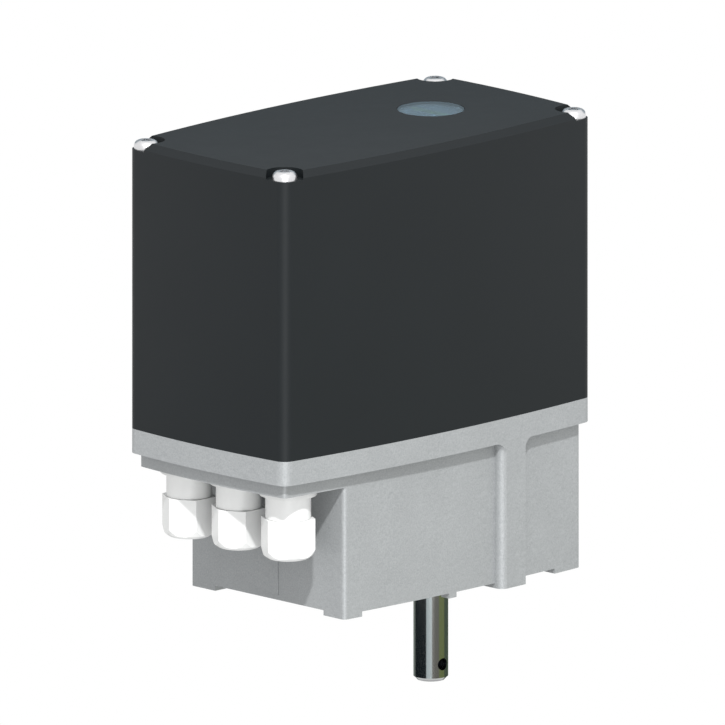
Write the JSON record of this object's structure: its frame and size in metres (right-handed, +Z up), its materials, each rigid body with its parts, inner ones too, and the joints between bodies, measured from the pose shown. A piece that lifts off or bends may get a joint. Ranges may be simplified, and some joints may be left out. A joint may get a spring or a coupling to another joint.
{
  "type": "motorized valve actuator",
  "caption": "Quarter-turn electric valve actuator: cast base on a flange, boxy cover with a position window, downward output shaft and cable glands.",
  "frame": {"origin": "on the output shaft's axis at the mounting plane, the underside of the feet", "axes": "+Z up through the position window, the shaft leaves along -Z, +X towards the shaft's end of the housing, cable glands at -X, +Y across the housing"},
  "size_m": [0.1762, 0.0992, 0.2337],
  "materials": {
    "cast_aluminium": "matt, fine cast grain",
    "cover_plastic": "satin, smooth moulded",
    "tinted_lens": "gloss, blue-grey tint",
    "black_rubber": "matt",
    "screw_steel": "bright plated",
    "polished_steel": "ground and polished",
    "gear_steel": "machined",
    "sheet_steel": "zinc plated",
    "bronze": "machined",
    "motor_steel": "satin",
    "black_plastic": "satin",
    "white_plastic": "satin moulded",
    "board_green": "solder mask",
    "terminal_plastic": "matt",
    "indicator_grey": "matt",
    "indicator_green": "matt"
  },
  "bodies": {
    "housing": {"base_housing": "cast_aluminium", "cover_gasket": "black_rubber", "lower_bush": "bronze", "shaft_seal": "black_rubber", "upper_bush": "bronze", "gear_axles": "polished_steel", "gear_plate": "sheet_steel", "gear_plate_screws": "screw_steel", "motor_can": "motor_steel", "motor_end_bell": "motor_steel", "motor_bearings": "bronze", "motor_stator": "motor_steel", "motor_screws": "screw_steel", "standoffs": "sheet_steel", "upper_plate": "sheet_steel", "upper_plate_screws": "screw_steel", "position_sensor": "black_plastic", "switch_bracket": "sheet_steel", "limit_switches": "black_plastic", "switch_screws": "screw_steel", "terminal_bracket": "sheet_steel", "circuit_board": "board_green", "board_spacers": "white_plastic", "board_screws": "screw_steel", "terminal_strips": "terminal_plastic", "terminal_screws": "bronze", "run_capacitor": "motor_steel", "capacitor_clip": "sheet_steel", "earth_screw": "screw_steel", "gland_bodies": "white_plastic", "gland_locknuts": "white_plastic", "gland_seals": "black_rubber"},
    "cover": {"cover_shell": "cover_plastic", "window_seal": "black_rubber", "window_lens": "tinted_lens", "cover_screws": "screw_steel"},
    "output": {"output_shaft": "polished_steel", "output_gear": "gear_steel", "drive_key": "gear_steel", "shaft_circlip": "polished_steel", "feedback_gear": "white_plastic", "limit_cams": "black_plastic", "cam_nut": "screw_steel", "indicator_disc": "indicator_grey", "indicator_pointer": "indicator_green"},
    "second_stage": {"second_wheel": "gear_steel", "second_pinion": "gear_steel"},
    "first_stage": {"first_wheel": "gear_steel", "first_pinion": "gear_steel"},
    "rotor": {"motor_rotor": "motor_steel", "motor_shaft": "polished_steel", "motor_pinion": "gear_steel"},
    "sensor_spindle": {"sensor_gear": "white_plastic"},
    "lever_1": {"switch_lever_1": "sheet_steel"},
    "lever_2": {"switch_lever_2": "sheet_steel"},
    "lever_3": {"switch_lever_3": "sheet_steel"},
    "lever_4": {"switch_lever_4": "sheet_steel"},
    "cap_nut_1": {"gland_nut_1": "white_plastic"},
    "cap_nut_2": {"gland_nut_2": "white_plastic"},
    "cap_nut_3": {"gland_nut_3": "white_plastic"}
  },
  "joints": [
    {"name": "output_turn", "type": "hinge", "parent": "housing", "child": "output", "pos_m": [0, 0, 0], "axis": [0, 0, 1], "range_deg": [0, 90]},
    {"name": "second_stage_turn", "type": "hinge", "parent": "housing", "child": "second_stage", "pos_m": [-0.045, 0, 0], "axis": [0, 0, 1], "range_deg": [-455, 5]},
    {"name": "first_stage_turn", "type": "hinge", "parent": "housing", "child": "first_stage", "pos_m": [-0.06798, 0.01928, 0], "axis": [0, 0, 1], "range_deg": [-20, 1820]},
    {"name": "rotor_turn", "type": "hinge", "parent": "housing", "child": "rotor", "pos_m": [-0.05641, 0.00105, 0], "axis": [0, 0, 1], "range_deg": [-6370, 70]},
    {"name": "sensor_turn", "type": "hinge", "parent": "housing", "child": "sensor_spindle", "pos_m": [-0.01026, -0.02819, 0], "axis": [0, 0, 1], "range_deg": [-185, 5]},
    {"name": "cover_lift", "type": "slide", "parent": "housing", "child": "cover", "axis": [0, 0, 1], "range_m": [0, 0.135]},
    {"name": "lever_1_swing", "type": "hinge", "parent": "housing", "child": "lever_1", "pos_m": [0.0246, -0.008, 0], "axis": [0, 0, -1], "range_deg": [0, 10], "stiffness_Nm_per_rad": 0.002, "springref_deg": -11.46},
    {"name": "lever_2_swing", "type": "hinge", "parent": "housing", "child": "lever_2", "pos_m": [0.0246, -0.008, 0], "axis": [0, 0, -1], "range_deg": [0, 10], "stiffness_Nm_per_rad": 0.002, "springref_deg": -11.46},
    {"name": "lever_3_swing", "type": "hinge", "parent": "housing", "child": "lever_3", "pos_m": [0.0246, -0.008, 0], "axis": [0, 0, -1], "range_deg": [0, 10], "stiffness_Nm_per_rad": 0.002, "springref_deg": -11.46},
    {"name": "lever_4_swing", "type": "hinge", "parent": "housing", "child": "lever_4", "pos_m": [0.0246, -0.008, 0], "axis": [0, 0, -1], "range_deg": [0, 10], "stiffness_Nm_per_rad": 0.002, "springref_deg": -11.46},
    {"name": "cap_nut_1_turn", "type": "hinge", "parent": "housing", "child": "cap_nut_1", "pos_m": [-0.1074, -0.0283, 0], "axis": [0, 0, 1], "range_deg": [-360, 0]},
    {"name": "cap_nut_2_turn", "type": "hinge", "parent": "housing", "child": "cap_nut_2", "pos_m": [-0.1074, 0, 0], "axis": [0, 0, 1], "range_deg": [-360, 0]},
    {"name": "cap_nut_3_turn", "type": "hinge", "parent": "housing", "child": "cap_nut_3", "pos_m": [-0.1074, 0.0283, 0], "axis": [0, 0, 1], "range_deg": [-360, 0]}
  ],
  "couplings": [
    {"joint": "second_stage_turn", "follows": "output_turn", "ratio": -5},
    {"joint": "first_stage_turn", "follows": "output_turn", "ratio": 20},
    {"joint": "rotor_turn", "follows": "output_turn", "ratio": -70},
    {"joint": "sensor_turn", "follows": "output_turn", "ratio": -2}
  ]
}
